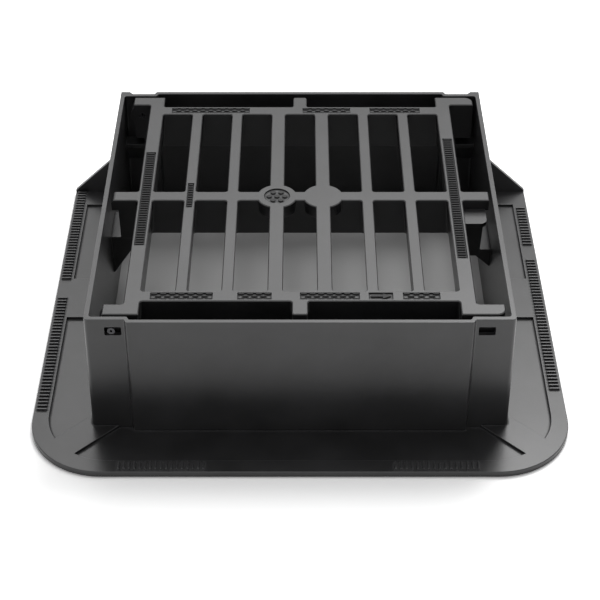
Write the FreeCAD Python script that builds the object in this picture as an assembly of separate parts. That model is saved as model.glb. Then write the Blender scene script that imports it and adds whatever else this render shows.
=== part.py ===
"""Gully grate: a ductile iron grate that hinges in its frame on two spring pins.

Millimetres, +Z up. +X runs along the kerb, in the direction of the traffic. +Y points at the kerb.
Every piece is drawn about the middle of the frame's opening, with Z measured from the bed face
under the flange. The finished pieces are then moved along Y, so that the origin is the middle of
the frame's footprint on its bed.
"""
import FreeCAD
import Part

import math
import os

from FreeCAD import Vector

# Frame: walls
frame_height = 150.0
opening_length = 424.4        # between the side walls at the rim
opening_width = 433.4         # between the middle parts of the front and back walls
side_wall = 5.0
end_wall = 5.2
wall_draft = 0.8              # degrees, on the two side walls
corner_step = 4.8             # how far the end walls step in towards the corners
corner_length = 40.6          # stepped part of an end wall, from the side wall's inner face
step_run = 2.0
step_wall = 2.8               # thickness through the step
step_radius = 2.0
post_width = 14.6             # full thickness posts at the kerb end, outside the step
post_run = 4.0
wall_corner_radius = 4.0
inner_corner_radius = 3.0
rim_bevel = 0.4

# Frame: flange and webs
flange_side_reach = 66.8      # outside the side walls at the rim
flange_front_reach = 65.6
flange_thickness = 6.6
flange_corner_radius = 80.0
flange_edge_bevel = 0.8
pocket_depth = 3.2
pocket_corner_radius = 70.0
border_width = 17.0
mid_land_width = 72.0
corner_land_width = 32.0
rear_land_width = 33.5
web_thickness = 5.0
web_height = 70.0             # at the wall
web_shoulder_width = 22.0     # from the wall to the knee
web_knee_drop = 19.0
web_tip_height = 8.5

# Frame: hinge windows and seats
window_width = 17.3
window_height = 10.6
window_corner = 1.6
seat_depth = 57.0             # seats below the walking surface
corner_seat_reach = 18.7      # from the inner face of the stepped wall, along Y
corner_seat_length = 38.2     # from the side wall's inner face at the rim, along X
corner_seat_drop = 33.0
seat_lip = 5.0
left_seat_start_y = 1.0
left_seat_end_y = 50.0
left_seat_reach = 34.2        # from the side wall's inner face at the rim
left_seat_drop = 49.5
right_seat_start_y = -22.6
right_seat_end_y = 25.0
right_seat_reach = 24.2
right_seat_drop = 23.0

# Grate
grate_depth = 47.0
grate_gap = 3.4               # between the grate and the rim, all round
side_gap = 33.1               # between an outer bar and the side wall
centre_bar_width = 16.0
inner_bar_width = 12.3
outer_bar_width = 16.3
inner_bars = 2                # on each side, between a centre bar and an outer bar
end_bar_width = 16.5
end_bar_gap = 4.9             # between an end bar and the corner lugs
crossbar_width = 16.8
bar_taper = 3.5               # each side, from the top down to the bottom
boss_diameter = 44.5
boss_depth = 16.0
tab_width = 16.0
tab_round = 2.5
tip_depth = 14.0
tip_length = 7.5
end_foot_gap = 2.5            # between the crossbar's hinge end and the seat below it
lug_width = 16.6
lug_gap = 4.8                 # between a free side lug and the side wall
foot_width = 13.0
foot_to_hinge = 0.5           # foot's outer face from the hinge axis, towards the free side
joint_fillet = 3.0
lug_corner_radius = 9.0
top_bevel = 1.0

# Grate: sunk panels for grip marks, each from a start to an end along its bar
panel_depth = 1.6
panel_border = 1.6            # beside a panel, on the bar's top
round_panel_diameter = 29.0
front_panels = [(-153.0, -89.0), (-64.0, -29.0), (0.0, 61.0), (70.0, 95.0), (105.0, 143.0)]
rear_panels = [(-153.0, -60.0), (3.0, 60.0), (83.0, 143.0)]
hinge_side_panel = (-92.0, 88.0)
free_side_panel = (-115.0, 117.0)
inner_panel = (-22.0, 25.0)

# Grate: bearing lug beside the crossbar, on the free side
bearing_drop = 12.0           # below the walking surface
bearing_width = 27.6
bearing_gap = 7.3             # to the side wall
bearing_cap = 5.0
bearing_web_inset = 4.0
bearing_draft = 2.0
bearing_corner_radius = 8.0

# Hinge
pin_diameter = 7.8
pin_wall = 2.5
pin_recess = 0.3              # pin's outer end below the outer face of the wall
pin_set_in = 2.0              # pin's inner end below the inner face of its lug
hinge_to_wall = 22.0          # hinge axis from the side wall at the rim
hinge_depth = 15.1            # below the walking surface
barrel_radius = 14.0
hinge_lug_reach = 9.4         # past the hinge axis, towards the wall
hinge_clearance = 1.0         # grate to side wall while it swings
window_offset = 1.8           # window's middle from the hinge axis, away from the side wall

# Worked out from the sizes above
half_opening = opening_length / 2
hinge_x = hinge_to_wall - half_opening
hinge_z = frame_height - hinge_depth
seat_z = frame_height - seat_depth
end_inner_y = opening_width / 2
kerb_face_y = end_inner_y + end_wall
step_inner_y = end_inner_y - corner_step
step_outer_y = kerb_face_y - corner_step
draft_slope = math.tan(math.radians(wall_draft))
flange_half_length = half_opening + side_wall + flange_side_reach
flange_front_y = -kerb_face_y - flange_front_reach
row_shift = -(flange_front_y + kerb_face_y) / 2
step_start_x = half_opening - corner_length
post_start_x = half_opening + side_wall - post_width
grate_bottom_z = frame_height - grate_depth
lug_outer_y = step_inner_y - grate_gap
lug_inner_y = lug_outer_y - lug_width
end_bar_outer_y = lug_inner_y - end_bar_gap
end_bar_inner_y = end_bar_outer_y - end_bar_width
free_end_x = half_opening - grate_gap
outer_bar_start_x = half_opening - side_gap - outer_bar_width
slot_width = (outer_bar_start_x - centre_bar_width - inner_bars * inner_bar_width) / (inner_bars + 1.5)
boss_x = (slot_width + centre_bar_width) / 2
foot_end_x = -hinge_x - foot_to_hinge
foot_start_x = foot_end_x - foot_width
hinge_wall_x = -half_opening - draft_slope * (frame_height - hinge_z)


def prism(points, axis, start, end):
    """Outline of (u, v) points across the axis, with a corner radius where a third value is
    given, pushed along the axis from start to end."""
    place = {
        "x": lambda u, v: Vector(start, u, v),
        "y": lambda u, v: Vector(u, start, v),
        "z": lambda u, v: Vector(u, v, start),
    }[axis]
    along = {"x": Vector(1, 0, 0), "y": Vector(0, 1, 0), "z": Vector(0, 0, 1)}[axis]
    corners = [place(point[0], point[1]) for point in points]
    solid = Part.Face(Part.makePolygon(corners + corners[:1])).extrude(along * (end - start))
    for corner, point in zip(corners, points):
        if len(point) == 3:
            solid = solid.makeFillet(point[2], [edge_at(solid, corner, along)])
    return solid


def edge_at(shape, point, along):
    """The straight edge that starts at a point and runs one way."""
    for edge in shape.Edges:
        ends = [vertex.Point for vertex in edge.Vertexes]
        if len(ends) < 2 or min(end.distanceToPoint(point) for end in ends) > 0.001:
            continue
        if (ends[1] - ends[0]).normalize().cross(along).Length < 0.001:
            return edge
    raise ValueError("no edge at that corner")


def box(x0, x1, y0, y1, z0, z1):
    return Part.makeBox(x1 - x0, y1 - y0, z1 - z0, Vector(x0, y0, z0))


def across_x(shape):
    return shape.mirror(Vector(0, 0, 0), Vector(1, 0, 0))


def across_y(shape):
    return shape.mirror(Vector(0, 0, 0), Vector(0, 1, 0))


def joined(shapes):
    return shapes[0].multiFuse(shapes[1:]).removeSplitter()


def upright(edge):
    size = edge.BoundBox
    return size.ZLength > 3 * max(size.XLength, size.YLength)


def flat_at(edge, z):
    size = edge.BoundBox
    return abs(size.ZMin - z) < 0.01 and abs(size.ZMax - z) < 0.01


def stepped_line(start_x, mid_y, corner_y, side):
    """One end wall's outline with its two steps. Side is 1 to run towards +X, -1 to run back."""
    half = [(-start_x - step_run, corner_y), (-start_x, mid_y)]
    return [(side * x, y) for x, y in half] + [(-side * x, y) for x, y in reversed(half)]


def outer_outline(half_x):
    """Outside of the walls. The kerb end keeps a full thickness post at each corner."""
    start_x = step_start_x + step_wall
    front = [(-half_x, -step_outer_y)] + stepped_line(start_x, -kerb_face_y, -step_outer_y, 1)
    front += [(half_x, -step_outer_y)]
    post = [(post_start_x + post_run, kerb_face_y), (post_start_x, step_outer_y)]
    back = [(half_x, kerb_face_y)] + post + stepped_line(start_x, kerb_face_y, step_outer_y, -1)
    back += [(-x, y) for x, y in reversed(post)] + [(-half_x, kerb_face_y)]
    return front + back


def inner_outline(half_x):
    front = [(-half_x, -step_inner_y)] + stepped_line(step_start_x, -end_inner_y, -step_inner_y, 1)
    front += [(half_x, -step_inner_y)]
    back = [(half_x, step_inner_y)] + stepped_line(step_start_x, end_inner_y, step_inner_y, -1)
    return front + back + [(-half_x, step_inner_y)]


def wall_block(outline, half_top, corner_radius, rounded_ends):
    """Drafted block inside one outline of the walls, rounded at its steps and at the corners
    of the ends that are given: -1 for the front, 1 for the kerb."""
    half_bottom = half_top + draft_slope * frame_height
    side_view = prism([(-half_bottom, 0), (half_bottom, 0), (half_top, frame_height),
                       (-half_top, frame_height)], "y", -opening_width, opening_width)
    block = prism(outline(half_bottom), "z", 0, frame_height).common(side_view)
    steps = []
    corners = []
    for edge in block.Edges:
        middle = edge.BoundBox.Center
        if not upright(edge):
            continue
        if abs(middle.x) < post_start_x - 1:
            steps.append(edge)
        elif abs(middle.x) > half_top - 1 and math.copysign(1, middle.y) in rounded_ends:
            corners.append(edge)
    return block.makeFillet(step_radius, steps).makeFillet(corner_radius, corners)


def flange_plan(inset, radius, rear_y, z0, z1):
    """Flange outline drawn in by an inset, as a plate with round front corners."""
    half_x = flange_half_length - inset
    front_y = flange_front_y + inset
    return prism([(-half_x, front_y, radius), (half_x, front_y, radius),
                  (half_x, rear_y), (-half_x, rear_y)], "z", z0, z1)


def flange_lands():
    """Flange with a raised border and lands, which leave a shallow pocket between each two."""
    floor_z = flange_thickness - pocket_depth
    plate = flange_plan(0, flange_corner_radius, kerb_face_y, 0, flange_thickness)
    outer_edges = [e for e in plate.Edges if flat_at(e, flange_thickness)
                   and e.BoundBox.YMin < kerb_face_y - 1]
    plate = plate.makeChamfer(flange_edge_bevel, outer_edges)
    pocket = flange_plan(border_width, pocket_corner_radius, kerb_face_y - rear_land_width,
                         floor_z, frame_height)
    mid_land = box(-flange_half_length, flange_half_length, -mid_land_width / 2,
                   mid_land_width / 2, 0, frame_height)
    corner_x = flange_half_length - flange_corner_radius
    corner_y = flange_front_y + flange_corner_radius
    corner_land = box(-flange_corner_radius, flange_corner_radius, -corner_land_width / 2,
                      corner_land_width / 2, 0, frame_height)
    corner_land.rotate(Vector(0, 0, 0), Vector(0, 0, 1), -45)
    corner_land.translate(Vector(corner_x, corner_y, 0))
    lands = [mid_land, corner_land, across_x(corner_land)]
    return plate.cut(pocket.cut(lands[0].multiFuse(lands[1:])))


def web():
    """Triangular web in the plane of the kerb face, from the wall out along the flange."""
    wall_x = half_opening + side_wall
    inside_x = half_opening + side_wall / 2
    knee = (wall_x + web_shoulder_width, web_height - web_knee_drop)
    outline = [(inside_x, 0), (flange_half_length, 0), (flange_half_length, web_tip_height),
               knee, (wall_x, web_height), (inside_x, web_height)]
    return prism(outline, "y", kerb_face_y - web_thickness, kerb_face_y)


def corner_seat():
    """Corbel across one front corner, for the grate's foot to stand on."""
    start_y = -step_inner_y + corner_seat_reach
    outline = [(-kerb_face_y, seat_z), (start_y, seat_z), (start_y, seat_z - seat_lip),
               (-step_inner_y, seat_z - corner_seat_drop),
               (-kerb_face_y, seat_z - corner_seat_drop)]
    return prism(outline, "x", half_opening - corner_seat_length, half_opening + side_wall)


def side_seat(reach, drop, start_y, end_y):
    """Wedge on a side wall, drawn on the right, for a bearing lug to stand on."""
    start_x = half_opening - reach
    outside_x = half_opening + side_wall
    outline = [(start_x, seat_z), (outside_x, seat_z), (outside_x, seat_z - drop),
               (half_opening, seat_z - drop), (start_x + seat_lip, seat_z - seat_lip),
               (start_x, seat_z - seat_lip)]
    return prism(outline, "y", start_y, end_y)


def seats():
    front_right = corner_seat()
    front = [front_right, across_x(front_right)]
    corners = front + [across_y(seat) for seat in front]
    left = across_x(side_seat(left_seat_reach, left_seat_drop,
                              left_seat_start_y, left_seat_end_y))
    right = side_seat(right_seat_reach, right_seat_drop,
                      right_seat_start_y, right_seat_end_y)
    return corners + [left, right]


def window():
    """Slot through the thinner corner part of an end wall, open to the hinge pin."""
    middle_x = hinge_x + window_offset
    low_x = middle_x - window_width / 2
    high_x = middle_x + window_width / 2
    low_z = hinge_z - window_height / 2
    high_z = hinge_z + window_height / 2
    return prism([(low_x, low_z, window_corner), (high_x, low_z, window_corner),
                  (high_x, high_z, window_corner), (low_x, high_z, window_corner)],
                 "y", -kerb_face_y - 1, -step_inner_y + 1)


def make_frame():
    walls = wall_block(outer_outline, half_opening + side_wall, wall_corner_radius, [-1])
    opening = wall_block(inner_outline, half_opening, inner_corner_radius, [-1, 1])
    shell = joined([walls, flange_lands(), web(), across_x(web())]).cut(opening)
    shell = shell.makeChamfer(rim_bevel, [e for e in shell.Edges if flat_at(e, frame_height)])
    inside_seats = [seat.common(walls) for seat in seats()]
    frame = joined([shell] + inside_seats)
    for cut in (window(), across_x(window())):
        frame = frame.cut(cut).cut(across_y(cut))
    return frame


def bar(start, end, axis, half_length):
    """Tapered bar of the grate, from start to end across its width, centred along an axis."""
    outline = [(start, frame_height), (start + bar_taper, grate_bottom_z),
               (end - bar_taper, grate_bottom_z), (end, frame_height)]
    return prism(outline, axis, -half_length, half_length)


def long_bars():
    """Bars along Y, outwards from the middle slot. The outer two run on between the lugs."""
    widths = [centre_bar_width] + [inner_bar_width] * inner_bars + [outer_bar_width]
    start = slot_width / 2
    bars = []
    for width in widths:
        reaches_lugs = start > outer_bar_start_x - 1
        half_length = lug_outer_y if reaches_lugs else end_bar_outer_y - bar_taper
        one = bar(start, start + width, "y", half_length)
        bars += [one, across_x(one)]
        start += width + slot_width
    return bars


def end_bars():
    front = bar(-end_bar_outer_y, -end_bar_inner_y, "x", outer_bar_start_x + bar_taper)
    tab = prism([(-tab_width / 2, -lug_outer_y, tab_round), (tab_width / 2, -lug_outer_y, tab_round),
                 (tab_width / 2, -end_bar_inner_y - bar_taper),
                 (-tab_width / 2, -end_bar_inner_y - bar_taper)],
                "z", frame_height - tip_depth, frame_height)
    return [front, tab, across_y(front), across_y(tab)]


def crossbar():
    """Middle bar along X. Its two ends are thin tips that reach over the gap to the walls."""
    beam = bar(-crossbar_width / 2, crossbar_width / 2, "x", free_end_x)
    root_x = free_end_x - tip_length
    tip_z = frame_height - tip_depth
    right = [(root_x, grate_bottom_z), (root_x, tip_z), (free_end_x, tip_z),
             (free_end_x, frame_height)]
    side_view = right + [(-x, z) for x, z in reversed(right)]
    return beam.common(prism(side_view, "y", -crossbar_width, crossbar_width))


def crossbar_foot():
    """Deeper hinge end of the crossbar, which comes down close over the side seat."""
    half_width = crossbar_width / 2 - bar_taper
    return box(tip_length - free_end_x, -outer_bar_start_x - outer_bar_width / 2,
               -half_width, half_width, seat_z + end_foot_gap, grate_bottom_z + tip_depth)


def boss(x):
    """Round pad on the crossbar."""
    radius = boss_diameter / 2
    low_radius = radius - bar_taper * boss_depth / grate_depth
    return Part.makeCone(low_radius, radius, boss_depth, Vector(x, 0, frame_height - boss_depth))


def foot(side):
    """Foot under a corner lug, which stands on the corner seat."""
    reach = sorted((side * foot_start_x, side * foot_end_x))
    return box(*reach, -lug_outer_y, -lug_inner_y, seat_z, grate_bottom_z + tip_depth)


def free_lug():
    """Front corner lug on the free side, with its outer corner rounded."""
    end_x = half_opening - lug_gap
    plate = prism([(outer_bar_start_x + bar_taper, -lug_inner_y), (end_x, -lug_inner_y),
                   (end_x, -lug_outer_y, lug_corner_radius),
                   (outer_bar_start_x + bar_taper, -lug_outer_y)],
                  "z", grate_bottom_z, frame_height)
    return [plate, foot(1)]


def hinge_lug():
    """Front corner lug on the hinge side, with the barrel round the pin."""
    plate = box(hinge_x - hinge_lug_reach, -outer_bar_start_x - bar_taper,
                -lug_outer_y, -lug_inner_y, grate_bottom_z, frame_height)
    barrel = Part.makeCylinder(barrel_radius, lug_width, Vector(hinge_x, -lug_outer_y, hinge_z),
                               Vector(0, 1, 0))
    return [plate, barrel, foot(-1)]


def bearing_lug():
    """Stepped lug in front of the crossbar, which stands on the side seat."""
    top_z = frame_height - bearing_drop
    back_y = -crossbar_width / 2 + bar_taper
    front_y = -crossbar_width / 2 - bearing_width
    inside_x = outer_bar_start_x + outer_bar_width / 2
    cap_x = half_opening - bearing_gap
    web_x = cap_x - bearing_web_inset
    cap = prism([(inside_x, front_y), (cap_x, front_y, bearing_corner_radius),
                 (cap_x, back_y), (inside_x, back_y)], "z", top_z - bearing_cap, top_z)
    profile = [(inside_x, top_z - 1), (web_x, top_z - 1), (web_x - bearing_draft, seat_z),
               (inside_x + bar_taper, seat_z), (inside_x, grate_bottom_z)]
    return [cap, prism(profile, "y", front_y + bearing_draft, back_y)]


def is_inside_corner(shape, edge):
    """True where the two faces at an edge meet in a hollow corner."""
    middle = edge.valueAt((edge.FirstParameter + edge.LastParameter) / 2)
    normals = []
    for face in shape.ancestorsOfType(edge, Part.Face):
        u, v = face.Surface.parameter(middle)
        normals.append(face.normalAt(u, v))
    return shape.isInside(middle + (normals[0] - normals[1]) * 0.2, 0.001, False)


def slot_corners(shape):
    """Inside corners that run down from the walking surface, away from the two bosses."""
    corners = []
    for edge in shape.Edges:
        size = edge.BoundBox
        if not upright(edge) or abs(size.ZMax - frame_height) > 0.01:
            continue
        from_boss = math.hypot(abs(size.Center.x) - boss_x, size.Center.y)
        if from_boss > boss_diameter / 2 + 2 and is_inside_corner(shape, edge):
            corners.append(edge)
    return corners


def panel(width_start, width_end, span, along):
    """Shallow recess in the top of one bar, inside the bar's bevelled edges."""
    low = min(width_start, width_end) + top_bevel + panel_border
    high = max(width_start, width_end) - top_bevel - panel_border
    z = frame_height - panel_depth
    if along == "x":
        return box(span[0], span[1], low, high, z, frame_height + 1)
    return box(low, high, span[0], span[1], z, frame_height + 1)


def panels():
    outer_end_x = outer_bar_start_x + outer_bar_width
    inner_end_x = outer_bar_start_x - slot_width
    cuts = [panel(-end_bar_outer_y, -end_bar_inner_y, span, "x") for span in front_panels]
    cuts += [panel(end_bar_inner_y, end_bar_outer_y, span, "x") for span in rear_panels]
    cuts += [panel(-outer_end_x, -outer_bar_start_x, hinge_side_panel, "y"),
             panel(outer_bar_start_x, outer_end_x, free_side_panel, "y"),
             panel(-inner_end_x, inner_bar_width - inner_end_x, inner_panel, "y")]
    return cuts + [Part.makeCylinder(round_panel_diameter / 2, panel_depth + 1,
                                     Vector(-boss_x, 0, frame_height - panel_depth))]


def swing_room():
    """Space in which the grate turns clear of the hinge side wall."""
    radius = hinge_x - hinge_wall_x - hinge_clearance
    length = opening_length
    turned = Part.makeCylinder(radius, length * 2, Vector(hinge_x, -length, hinge_z),
                               Vector(0, 1, 0))
    free_side = box(hinge_x, length, -length, length, 0, frame_height * 2)
    below = box(-length, length, -length, length, 0, hinge_z)
    return turned.fuse([free_side, below])


def make_grate():
    front_lugs = free_lug() + hinge_lug()
    rear_lugs = [across_y(lug) for lug in front_lugs]
    bodies = long_bars() + end_bars() + [crossbar(), crossbar_foot(), boss(-boss_x), boss(boss_x)]
    grate = joined(bodies + front_lugs + rear_lugs + bearing_lug())
    grate = grate.common(swing_room()).removeSplitter()
    grate = grate.makeFillet(joint_fillet, slot_corners(grate))
    grate = grate.makeChamfer(top_bevel, [e for e in grate.Edges if flat_at(e, frame_height)])
    bore = Part.makeCylinder(pin_diameter / 2, lug_width + 2,
                             Vector(hinge_x, -lug_outer_y - 1, hinge_z), Vector(0, 1, 0))
    return grate.cut([bore, across_y(bore)] + panels())


def make_front_pin():
    """Coiled spring pin, pressed in its lug. Its tight laps are drawn as one wall."""
    outer = pin_diameter / 2
    start = Vector(hinge_x, -step_outer_y + pin_recess, hinge_z)
    length = step_outer_y - pin_recess - lug_inner_y - pin_set_in
    tube = Part.makeCylinder(outer, length, start, Vector(0, 1, 0))
    return tube.cut(Part.makeCylinder(outer - pin_wall, length, start, Vector(0, 1, 0)))


def write(name, shape):
    shape = shape.copy()
    shape.translate(Vector(0, row_shift, 0))
    shape.exportStep("parts/" + name + ".step")


os.makedirs("parts", exist_ok=True)
front_pin = make_front_pin()
write("frame", make_frame())
write("grate", make_grate())
write("hinge_pin_front", front_pin)
write("hinge_pin_rear", across_y(front_pin))
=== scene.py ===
"""Looks of the gully grate: dip coated iron castings with raised grip marks and two spring pins."""
import math

import bmesh
import bpy
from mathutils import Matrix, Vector


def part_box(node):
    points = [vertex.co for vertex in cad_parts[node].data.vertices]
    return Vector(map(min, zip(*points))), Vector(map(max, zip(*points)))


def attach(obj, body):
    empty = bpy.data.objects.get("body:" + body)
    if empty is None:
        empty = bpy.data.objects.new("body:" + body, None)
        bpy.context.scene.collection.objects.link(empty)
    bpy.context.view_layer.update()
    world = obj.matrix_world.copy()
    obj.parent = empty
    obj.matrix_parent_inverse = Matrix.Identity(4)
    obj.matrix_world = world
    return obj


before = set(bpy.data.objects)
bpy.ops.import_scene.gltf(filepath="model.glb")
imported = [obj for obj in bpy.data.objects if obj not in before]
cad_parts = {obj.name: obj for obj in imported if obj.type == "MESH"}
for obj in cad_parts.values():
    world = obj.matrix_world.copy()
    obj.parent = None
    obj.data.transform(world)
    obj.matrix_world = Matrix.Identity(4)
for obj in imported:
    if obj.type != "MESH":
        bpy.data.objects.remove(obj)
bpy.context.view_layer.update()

MM = 0.001

# Frame casting
# The real frame is one ductile iron casting, poured in a green sand mould, shot blasted and then
# dipped in a thin black water based coating, which dries to a satin skin over the sand's grain.
frame_deep = "#161617"        # where the coating is thick
frame_thin_and_highlight = "#4a4a4c"        # on the thinnest patches, and as a painted highlight on outer edges
frame_roughness = 0.31
frame_grain = 1.5 * MM
grain_depth = 0.05 * MM
satin_spread = 0.06           # roughness from grain to grain
coating_ior = 1.6
patch_size = 60 * MM          # patches over which the coating pools and thins
patch_range = (0.3, 0.7)      # noise where the thick and the thin patches begin
patch_thinness = 0.30         # of a thin patch, where 1 is as pale as the painted highlight on an edge
edge_radius = 0.55 * MM
edge_range = (0.95, 0.55)     # open share of the metal below a plain face and at a sharp edge
recess_reach = 3.0 * MM       # how far the air must be open for the coating to stay satin
recess_range = (0.97, 0.72)   # open share of that air where dullness begins and where it is full
recess_dullness = 0.55        # roughness that the floor of a recess gains
probe_samples = 6             # rays that look for an edge or for open air

# A mix node has sockets A and B for each kind of value, so these are told apart by number
mix_vectors, vector_a, vector_b = 1, 4, 5
mix_colours, colour_a, colour_b = 2, 6, 7


def linear(hex_colour):
    """sRGB hex text as the linear colour that a shader takes."""
    channels = [int(hex_colour[i:i + 2], 16) / 255 for i in (1, 3, 5)]
    return tuple(c / 12.92 if c <= 0.04045 else ((c + 0.055) / 1.055) ** 2.4
                 for c in channels) + (1.0,)


def add(tree, kind, inputs=(), out=0, **settings):
    """Adds a node and returns one of its outputs, or all of them where out is None. Inputs are
    pairs of a socket and the value or output that goes in it, and None leaves it as it is."""
    node = tree.nodes.new(kind)
    for name, value in settings.items():
        setattr(node, name, value)
    for socket, value in inputs:
        if isinstance(value, bpy.types.NodeSocket):
            tree.links.new(value, node.inputs[socket])
        elif value is not None:
            node.inputs[socket].default_value = value
    return node.outputs if out is None else node.outputs[out]


def new_material(name):
    """A material with an empty tree, and that tree."""
    material = bpy.data.materials.new(name)
    material.use_nodes = True
    material.node_tree.nodes.clear()
    return material, material.node_tree


def coated_iron(name, deep, thin_and_highlight, roughness, grain_size):
    """Black dip coating on sand cast iron. Satin, so it shows a broad soft sheen, with the mould's
    grain in it. Its outer edges are painted paler, as a painted highlight, and random thin patches
    are a little paler. It is dull on the floors of recesses, where sand stays under it and nothing
    rubs it."""
    material, tree = new_material(name)
    place = add(tree, "ShaderNodeTexCoord", out="Object")
    patches = add(tree, "ShaderNodeTexNoise", [("Vector", place), ("Scale", 1 / patch_size),
                                               ("Detail", 3.0)], out="Fac")
    # Sand grains are near 0.3 mm. They are drawn coarser, as large as they need to be to show
    grain = add(tree, "ShaderNodeTexNoise", [("Vector", place), ("Scale", 1 / grain_size),
                                             ("Detail", 4.0), ("Roughness", 0.6)], out="Fac")
    # Looking into the metal, only an outer edge has another face close by. Edges are rounded there
    solid = add(tree, "ShaderNodeAmbientOcclusion", [("Distance", 2 * edge_radius)], out="AO",
                samples=probe_samples, inside=True)
    edge = add(tree, "ShaderNodeMapRange", [("Value", solid), ("From Min", edge_range[0]),
                                            ("From Max", edge_range[1])], out="Result")
    flat = add(tree, "ShaderNodeNewGeometry", out="Normal")
    bevel = add(tree, "ShaderNodeBevel", [("Radius", edge_radius)], out="Normal",
                samples=probe_samples)
    round_edge = add(tree, "ShaderNodeMix", [("Factor", edge), (vector_a, flat),
                                             (vector_b, bevel)], out=mix_vectors,
                     data_type="VECTOR")
    # Painted highlight: outer edges are painted pale, and thin patches are a little paler at random
    thin_patch = add(tree, "ShaderNodeMapRange", [("Value", patches),
                                                  ("From Min", patch_range[0]),
                                                  ("From Max", patch_range[1]),
                                                  ("To Max", patch_thinness)], out="Result")
    thinness_and_highlight = add(tree, "ShaderNodeMath", [(0, edge), (1, thin_patch)], operation="MAXIMUM")
    colour = add(tree, "ShaderNodeMix", [("Factor", thinness_and_highlight), (colour_a, linear(deep)),
                                         (colour_b, linear(thin_and_highlight))], out=mix_colours,
                 data_type="RGBA")
    # A recess has little open air above it. Only its floor is dull, as its walls face sideways
    satin = add(tree, "ShaderNodeMapRange", [("Value", grain),
                                             ("To Min", roughness - satin_spread),
                                             ("To Max", roughness + satin_spread)], out="Result")
    open_air = add(tree, "ShaderNodeAmbientOcclusion", [("Distance", recess_reach)], out="AO",
                   samples=probe_samples)
    recess = add(tree, "ShaderNodeMapRange", [("Value", open_air), ("From Min", recess_range[0]),
                                              ("From Max", recess_range[1]),
                                              ("To Max", recess_dullness)], out="Result")
    facing_up = add(tree, "ShaderNodeSeparateXYZ", [("Vector", flat)], out="Z")
    gritty = add(tree, "ShaderNodeMath", [(0, recess), (1, facing_up)], operation="MULTIPLY",
                 use_clamp=True)
    dull = add(tree, "ShaderNodeMath", [(0, satin), (1, gritty)], operation="ADD")
    rough = add(tree, "ShaderNodeBump", [("Height", grain), ("Normal", round_edge),
                                         ("Strength", 1.0), ("Distance", grain_depth)])
    skin = add(tree, "ShaderNodeBsdfPrincipled", [("Base Color", colour), ("Roughness", dull),
                                                  ("IOR", coating_ior), ("Normal", rough)])
    add(tree, "ShaderNodeOutputMaterial", [("Surface", skin)], out=None)
    return material


def dress(node_name, material):
    """Puts a material on a piece that comes from the construction model."""
    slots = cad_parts[node_name].data.materials
    slots.clear()
    slots.append(material)


frame_iron = coated_iron("dip_coated_iron_frame", frame_deep, frame_thin_and_highlight, frame_roughness,
                         frame_grain)
dress("frame", frame_iron)

# Flange grip ribs
# Short raised ribs across the flange's border, cast with it, where mortar and road base key in.
# They stand in short rows along the border's three sides, with plain lengths between the rows.
flange_border_x = 275.5 * MM
flange_border_y = -246.2 * MM
flange_land_z = 6.6 * MM
flange_rib = Vector((2.2, 11.0, 2.4)) * MM      # along the row, across it, and up
flange_rib_pitch = 5.4 * MM
flange_rib_draft = 0.3 * MM
flange_rows = [
    ((-flange_border_x, 245 * MM), (-flange_border_x, 68 * MM)),
    ((-flange_border_x, 30 * MM), (-flange_border_x, -161 * MM)),
    ((flange_border_x, 211 * MM), (flange_border_x, 136 * MM)),
    ((flange_border_x, 103 * MM), (flange_border_x, -128 * MM)),
    ((-186 * MM, flange_border_y), (-99 * MM, flange_border_y)),
    ((98 * MM, flange_border_y), (183 * MM, flange_border_y)),
]
rib_root = 0.2 * MM           # sunk below the face that carries the ribs


def put_in_scene(name, data):
    """A new object at the origin, unturned."""
    thing = bpy.data.objects.new(name, data)
    bpy.context.collection.objects.link(thing)
    return thing


def start_growth(name, sizes):
    """A node group with named inputs. Returns its tree, its inputs and their identifiers."""
    tree = bpy.data.node_groups.new(name, "GeometryNodeTree")
    identifiers = {}
    for size_name, kind in sizes.items():
        socket = tree.interface.new_socket(size_name, in_out="INPUT",
                                           socket_type="NodeSocket" + kind)
        identifiers[size_name] = socket.identifier
    tree.interface.new_socket("Grown", in_out="OUTPUT", socket_type="NodeSocketGeometry")
    return tree, add(tree, "NodeGroupInput", out=None), identifiers


def end_growth(tree, points, mark, turn, iron):
    """Sets a mark on each point, makes all of them real and gives them their material."""
    standing = add(tree, "GeometryNodeInstanceOnPoints", [("Points", points), ("Instance", mark),
                                                          ("Rotation", turn)])
    real = add(tree, "GeometryNodeRealizeInstances", [("Geometry", standing)])
    coated = add(tree, "GeometryNodeSetMaterial", [("Geometry", real), ("Material", iron)])
    add(tree, "NodeGroupOutput", [(0, coated)], out=None)


def grow(name, points, lines, tree, identifiers, sizes):
    """Runs a node group on points and lines, and keeps what grows there as a plain mesh."""
    seed = bpy.data.meshes.new(name + "_seed")
    seed.from_pydata(points, lines, [])
    carrier = put_in_scene(name + "_seed", seed)
    maker = carrier.modifiers.new(name, "NODES")
    maker.node_group = tree
    for size_name, size in sizes.items():
        maker[identifiers[size_name]] = size
    mesh = bpy.data.meshes.new_from_object(
        carrier.evaluated_get(bpy.context.evaluated_depsgraph_get()))
    carrier.modifiers.remove(maker)
    bpy.data.objects.remove(carrier)
    mesh.name = name
    return put_in_scene(name, mesh)


rib_tree, rib_in, rib_identifiers = start_growth("rows_of_cast_ribs", {
    "Rows": "Geometry", "Pitch": "Float", "Rib Size": "Vector", "Draft": "Float",
    "Iron": "Material"})
# Points along each row, one rib's pitch apart, with the way the row runs
rows = add(rib_tree, "GeometryNodeMeshToCurve", [("Mesh", rib_in["Rows"])])
stops = add(rib_tree, "GeometryNodeResampleCurve", [("Curve", rows), ("Length", rib_in["Pitch"])],
            mode="LENGTH")
along = add(rib_tree, "GeometryNodeInputTangent")
turn = add(rib_tree, "FunctionNodeAlignRotationToVector", [("Vector", along)], axis="X",
           pivot_axis="Z")
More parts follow.
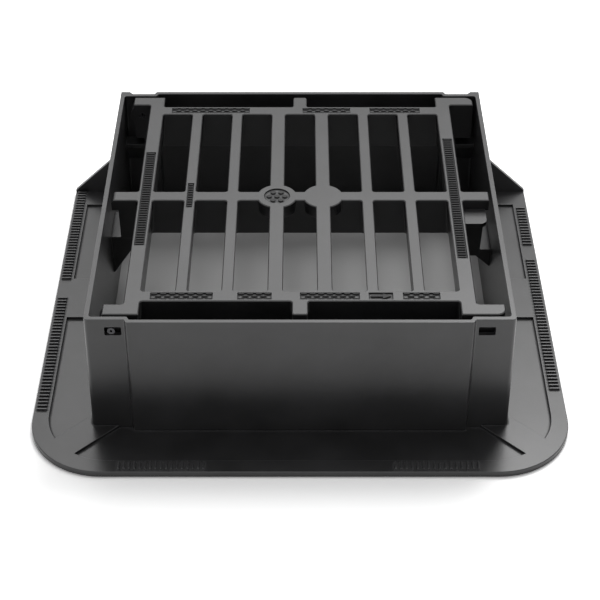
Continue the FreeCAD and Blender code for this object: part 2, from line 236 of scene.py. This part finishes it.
# One rib, drawn in at its top by the draft that lets it leave the mould
block = add(rib_tree, "GeometryNodeMeshCube", [("Size", rib_in["Rib Size"])])
corner = add(rib_tree, "GeometryNodeInputPosition")
outward = add(rib_tree, "ShaderNodeVectorMath", [(0, corner)], operation="SIGN")
level_inward = add(rib_tree, "ShaderNodeVectorMath", [(0, outward), (1, (-1, -1, 0))],
                   operation="MULTIPLY")
draw_in = add(rib_tree, "ShaderNodeVectorMath", [(0, level_inward), ("Scale", rib_in["Draft"])],
              operation="SCALE")
height = add(rib_tree, "ShaderNodeSeparateXYZ", [("Vector", corner)], out="Z")
is_top = add(rib_tree, "FunctionNodeCompare", [("A", height), ("B", 0.0)],
             operation="GREATER_THAN")
rib = add(rib_tree, "GeometryNodeSetPosition", [("Geometry", block), ("Selection", is_top),
                                                ("Offset", draw_in)])
end_growth(rib_tree, stops, rib, turn, rib_in["Iron"])


def cast_ribs(name, rows, top_z, rib_size, pitch, draft, iron):
    """Ribs along rows, given as pairs of (x, y) ends, with their tops at one level. Their roots
    are sunk in the casting."""
    size = rib_size + Vector((0, 0, rib_root))
    middle_z = top_z - size.z / 2
    points = [(x, y, middle_z) for row in rows for x, y in row]
    lines = [(i, i + 1) for i in range(0, len(points), 2)]
    return grow(name, points, lines, rib_tree, rib_identifiers,
                {"Pitch": pitch, "Rib Size": size, "Draft": draft, "Iron": iron})


flange_ribs = cast_ribs("flange_grip_ribs", flange_rows, flange_land_z + flange_rib.z, flange_rib,
                        flange_rib_pitch, flange_rib_draft, frame_iron)
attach(flange_ribs, "frame_body")

# Grate casting
# The grate is a second casting of the same iron, coated in the same bath. Its coating is a touch
# thinner on the faces than the frame's, and its edges get a weaker painted highlight.
grate_deep = "#181819"
grate_thin_and_highlight = "#3c3c3e"
grate_roughness = 0.34
grate_grain = 1.3 * MM
dress("grate", coated_iron("dip_coated_iron_grate", grate_deep, grate_thin_and_highlight, grate_roughness,
                           grate_grain))

# Grate grip ribs
# Short ribs cast in the sunk panels of the bars, flush with the walking surface, so that the panels
# grip a shoe or a tyre. They lie along the kerb: across the side bars, and in three staggered lines
# on the end bars. They are painted a little darker than the grate, as painted shade, with only a
# faint painted highlight on their edges, and are dull.
marks_deep_painted_shade = "#141415"
marks_thin_and_highlight = "#1c1c1d"
marks_roughness = 0.75
road_z = 150 * MM
middle_y = 32.8 * MM          # of the grate, which is nearer the kerb than the flange's middle is
end_bar_y = 178.65 * MM       # bars' middles from the grate's own middle
side_bar_x = 170.95 * MM
inner_bar_x = 121.74 * MM
front_bar_panels = ((-149, -93), (-60, -33), (4, 57), (109, 139))     # ends along the bar, in mm
rear_bar_panels = ((-149, -64), (7, 56), (87, 139))
left_bar_panel = (-89, 85)
right_bar_panel = (-112, 114)
inner_bar_panel = (-19, 22)
panel_depth = 1.6 * MM
end_rib = Vector((6.2, 1.6, panel_depth / MM)) * MM
end_rib_pitch = 8.6 * MM
end_rib_lines = 3.85 * MM
side_rib = Vector((1.6, 8.6, panel_depth / MM)) * MM
inner_rib = Vector((1.6, 5.0, panel_depth / MM)) * MM
side_rib_pitch = 4.4 * MM
mark_draft = 0.2 * MM

marks_iron = coated_iron("dip_coated_iron_marks", marks_deep_painted_shade, marks_thin_and_highlight, marks_roughness,
                         grate_grain)
front_y = middle_y - end_bar_y
rear_y = middle_y + end_bar_y
end_rows = []
for bar_y, panels in ((front_y, front_bar_panels), (rear_y, rear_bar_panels)):
    for start, end in panels:
        for line in (-1, 0, 1):
            stagger = end_rib_pitch / 2 if line == 0 else 0
            y = bar_y + line * end_rib_lines
            end_rows.append(((start * MM + stagger, y), (end * MM - stagger, y)))


def row_to_kerb(bar_x, panel):
    """The row of ribs on a bar that runs towards the kerb."""
    return tuple((bar_x, middle_y + end * MM) for end in panel)


side_rows = [row_to_kerb(-side_bar_x, left_bar_panel), row_to_kerb(side_bar_x, right_bar_panel)]
inner_rows = [row_to_kerb(-inner_bar_x, inner_bar_panel)]
end_ribs = cast_ribs("end_bar_grip_ribs", end_rows, road_z, end_rib, end_rib_pitch, mark_draft,
                     marks_iron)
side_ribs = cast_ribs("side_bar_grip_ribs", side_rows, road_z, side_rib, side_rib_pitch,
                      mark_draft, marks_iron)
inner_ribs = cast_ribs("inner_bar_grip_ribs", inner_rows, road_z, inner_rib, side_rib_pitch,
                       mark_draft, marks_iron)
for ribs in (end_ribs, side_ribs, inner_ribs):
    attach(ribs, "grate_body")

# Traffic arrow
# A plain arrow in one panel of the front bar, cast flush with the walking surface. It points the
# way that traffic crosses the grate, so that the hinge is laid on the side that it comes from.
arrow_start = 72.5 * MM
arrow_end = 92.5 * MM
arrow_neck = arrow_end - 8.0 * MM
arrow_half_head = 4.2 * MM
arrow_half_shaft = 1.1 * MM
arrow_outline = [(arrow_start, -arrow_half_shaft), (arrow_neck, -arrow_half_shaft),
                 (arrow_neck, -arrow_half_head), (arrow_end, 0), (arrow_neck, arrow_half_head),
                 (arrow_neck, arrow_half_shaft), (arrow_start, arrow_half_shaft)]

arrow_mesh = bpy.data.meshes.new("traffic_arrow")
shape = bmesh.new()
sole = shape.faces.new([shape.verts.new((x, front_y + y, road_z - panel_depth - rib_root))
                        for x, y in arrow_outline])
raised = bmesh.ops.extrude_face_region(shape, geom=[sole])["geom"]
bmesh.ops.translate(shape, vec=(0, 0, panel_depth + rib_root),
                    verts=[part for part in raised if isinstance(part, bmesh.types.BMVert)])
bmesh.ops.recalc_face_normals(shape, faces=shape.faces)
shape.to_mesh(arrow_mesh)
shape.free()
arrow_mesh.materials.append(marks_iron)
traffic_arrow = put_in_scene("traffic_arrow", arrow_mesh)
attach(traffic_arrow, "grate_body")

# Boss studs
# Seven low studs in the sunk round of the left boss, one in the middle and six round it, cast
# flush with the walking surface like the ribs.
boss_x = -25.457 * MM
stud_top_radius = 2.6 * MM
stud_draft = 0.35 * MM
stud_sides = 20
stud_ring_radius = 8.6 * MM
studs_in_ring = 6

stud_tree, stud_in, stud_identifiers = start_growth("ring_of_cast_studs", {
    "Boss": "Geometry", "Studs": "Int", "Ring Radius": "Float", "Top Radius": "Float",
    "Root Radius": "Float", "Height": "Float", "Iron": "Material"})
ring = add(stud_tree, "GeometryNodeMeshCircle", [("Vertices", stud_in["Studs"]),
                                                 ("Radius", stud_in["Ring Radius"])])
ring_on_boss = add(stud_tree, "GeometryNodeInstanceOnPoints", [("Points", stud_in["Boss"]),
                                                               ("Instance", ring)])
ring_points = add(stud_tree, "GeometryNodeRealizeInstances", [("Geometry", ring_on_boss)])
places = add(stud_tree, "GeometryNodeJoinGeometry", [(0, ring_points), (0, stud_in["Boss"])])
stud = add(stud_tree, "GeometryNodeMeshCone", [("Vertices", stud_sides),
                                               ("Depth", stud_in["Height"]),
                                               ("Radius Top", stud_in["Top Radius"]),
                                               ("Radius Bottom", stud_in["Root Radius"])])
end_growth(stud_tree, places, stud, None, stud_in["Iron"])

boss_studs = grow("boss_studs", [(boss_x, middle_y, road_z - panel_depth - rib_root)], [],
                  stud_tree, stud_identifiers,
                  {"Studs": studs_in_ring, "Ring Radius": stud_ring_radius,
                   "Top Radius": stud_top_radius, "Root Radius": stud_top_radius + stud_draft,
                   "Height": panel_depth + rib_root, "Iron": marks_iron})
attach(boss_studs, "grate_body")

# Hinge pins
# Two coiled spring pins, rolled from spring steel strip and driven into the grate's lugs from
# outside. They are left bare, so they are the only metal that shows: dull, with faint long lines.
steel_dark = "#3c3c3e"
steel_light = "#5a5a5c"
drawn_line = 0.8 * MM         # a line's width, coarser than the real ones so that it shows
drawn_stretch = (1, 0.05, 1)  # the lines run along the pin, twenty times as long as they are wide

spring_steel, tree = new_material("rolled_spring_steel")
place = add(tree, "ShaderNodeTexCoord", out="Object")
stretched = add(tree, "ShaderNodeMapping", [("Vector", place), ("Scale", drawn_stretch)])
drawn = add(tree, "ShaderNodeTexNoise", [("Vector", stretched), ("Scale", 1 / drawn_line),
                                         ("Detail", 2.0)], out="Fac")
steel_colour = add(tree, "ShaderNodeMix", [("Factor", drawn), (colour_a, linear(steel_dark)),
                                           (colour_b, linear(steel_light))], out=mix_colours,
                   data_type="RGBA")
dull = add(tree, "ShaderNodeMapRange", [("Value", drawn), ("To Min", 0.38), ("To Max", 0.55)],
           out="Result")
steel = add(tree, "ShaderNodeBsdfPrincipled", [("Base Color", steel_colour), ("Metallic", 1.0),
                                               ("Roughness", dull)])
add(tree, "ShaderNodeOutputMaterial", [("Surface", steel)], out=None)
for pin in ("hinge_pin_front", "hinge_pin_rear"):
    dress(pin, spring_steel)

# Ground, light and camera
# A plain pale studio: a white floor and backdrop, a large softbox high behind the kerb side and a
# small one beside it, which graze the castings' top faces, and a weak even light from all round.
floor_half = 6.0
floor_gap = 0.4 * MM          # below the frame, so that the two don't share a face
floor_white = 0.87            # to light that bounces off it
floor_seen = 1.8              # to the camera and in mirrors, where it stands for a lit backdrop
floor_shaded_in_shaft = 0.52         # painted shade: the floor is darker inside the frame, under the grate
shaft_x, shaft_half_x = 0.0, 216 * MM
shaft_y, shaft_half_y = 33.5 * MM, 218.5 * MM
backdrop_range = (0.6, 1.6)   # distances between which the floor turns into a white backdrop
backdrop_strength = 1.0
air_strength = 0.28
lamps = [("softbox", Vector((0.20, 1.13, 2.10)), 2.1, 2.3),      # name, place, size, radiance
         ("key", Vector((0.60, 1.15, 2.05)), 0.6, 12.0)]


def looked_at(tree):
    """1 for what the camera sees, straight or in a mirror or through glass, and 0 for light that
    falls on the object."""
    rays = add(tree, "ShaderNodeLightPath", out=None)
    mirrored = add(tree, "ShaderNodeMath", [(0, rays["Is Glossy Ray"]),
                                            (1, rays["Is Transmission Ray"])],
                   operation="MAXIMUM")
    return add(tree, "ShaderNodeMath", [(0, rays["Is Camera Ray"]), (1, mirrored)],
               operation="MAXIMUM")


bpy.ops.mesh.primitive_plane_add(size=2 * floor_half)
floor = bpy.context.object
floor.name = "studio_floor"
floor.location.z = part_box("frame")[0][2] - floor_gap
white, tree = new_material("studio_white")
place = add(tree, "ShaderNodeTexCoord", out="Object")
sides = add(tree, "ShaderNodeSeparateXYZ", [("Vector", place)], out=None)
in_x = add(tree, "ShaderNodeMath", [(0, sides["X"]), (1, shaft_x), (2, shaft_half_x)],
           operation="COMPARE")
in_y = add(tree, "ShaderNodeMath", [(0, sides["Y"]), (1, shaft_y), (2, shaft_half_y)],
           operation="COMPARE")
in_shaft = add(tree, "ShaderNodeMath", [(0, in_x), (1, in_y)], operation="MULTIPLY")
outside = add(tree, "ShaderNodeMath", [(0, 1.0), (1, in_shaft)], operation="SUBTRACT")
# The floor keeps the object's shadow, and reads as white outside the frame's shaft. Inside the
# shaft it is painted darker, as painted shade
seen = looked_at(tree)
seen_outside = add(tree, "ShaderNodeMath", [(0, seen), (1, outside)], operation="MULTIPLY")
plain = add(tree, "ShaderNodeMapRange", [("Value", in_shaft), ("To Min", floor_white),
                                         ("To Max", floor_shaded_in_shaft)], out="Result")
level = add(tree, "ShaderNodeMapRange", [("Value", seen_outside), ("To Min", plain),
                                         ("To Max", floor_seen)], out="Result")
ground = add(tree, "ShaderNodeBsdfDiffuse", [("Color", level)])
distance = add(tree, "ShaderNodeVectorMath", [(0, place)], out="Value", operation="LENGTH")
far = add(tree, "ShaderNodeMapRange", [("Value", distance), ("From Min", backdrop_range[0]),
                                       ("From Max", backdrop_range[1])], out="Result")
fade = add(tree, "ShaderNodeMath", [(0, far), (1, seen)], operation="MULTIPLY")
far_white = add(tree, "ShaderNodeEmission", [("Strength", backdrop_strength)])
surface = add(tree, "ShaderNodeMixShader", [("Fac", fade), (1, ground), (2, far_white)])
add(tree, "ShaderNodeOutputMaterial", [("Surface", surface)], out=None)
floor.data.materials.append(white)

world = bpy.data.worlds.new("studio_air")
bpy.context.scene.world = world
world.use_nodes = True
tree = world.node_tree
tree.nodes.clear()
air, backdrop = (add(tree, "ShaderNodeBackground", [("Color", (1, 1, 1, 1)), ("Strength", level)])
                 for level in (air_strength, backdrop_strength))
surround = add(tree, "ShaderNodeMixShader", [("Fac", looked_at(tree)), (1, air), (2, backdrop)])
add(tree, "ShaderNodeOutputWorld", [("Surface", surround)], out=None)

for lamp_name, lamp_place, lamp_size, lamp_radiance in lamps:
    lamp_data = bpy.data.lights.new(lamp_name, "AREA")
    lamp_data.shape = "SQUARE"
    lamp_data.size = lamp_size
    lamp_data.energy = lamp_radiance * math.pi * lamp_size ** 2
    lamp = put_in_scene(lamp_name, lamp_data)
    lamp.location = lamp_place
    lamp.rotation_euler = (-lamp_place).to_track_quat("-Z", "Y").to_euler()

# The camera stands in front of the road side and looks over the grate, as in the photograph
camera_place = Vector((0.0, -1.4208, 1.1562))
camera_pitch_deg = 38.43
camera_sensor = 36.0
photo_width_px = 600
focal_px = 1594
camera_data = bpy.data.cameras.new("camera")
camera_data.sensor_width = camera_sensor
camera_data.lens = camera_sensor * focal_px / photo_width_px
camera = put_in_scene("camera", camera_data)
camera.location = camera_place
camera.rotation_euler = (math.radians(90 - camera_pitch_deg), 0, 0)
bpy.context.scene.camera = camera
bpy.context.scene.view_settings.view_transform = "Standard"
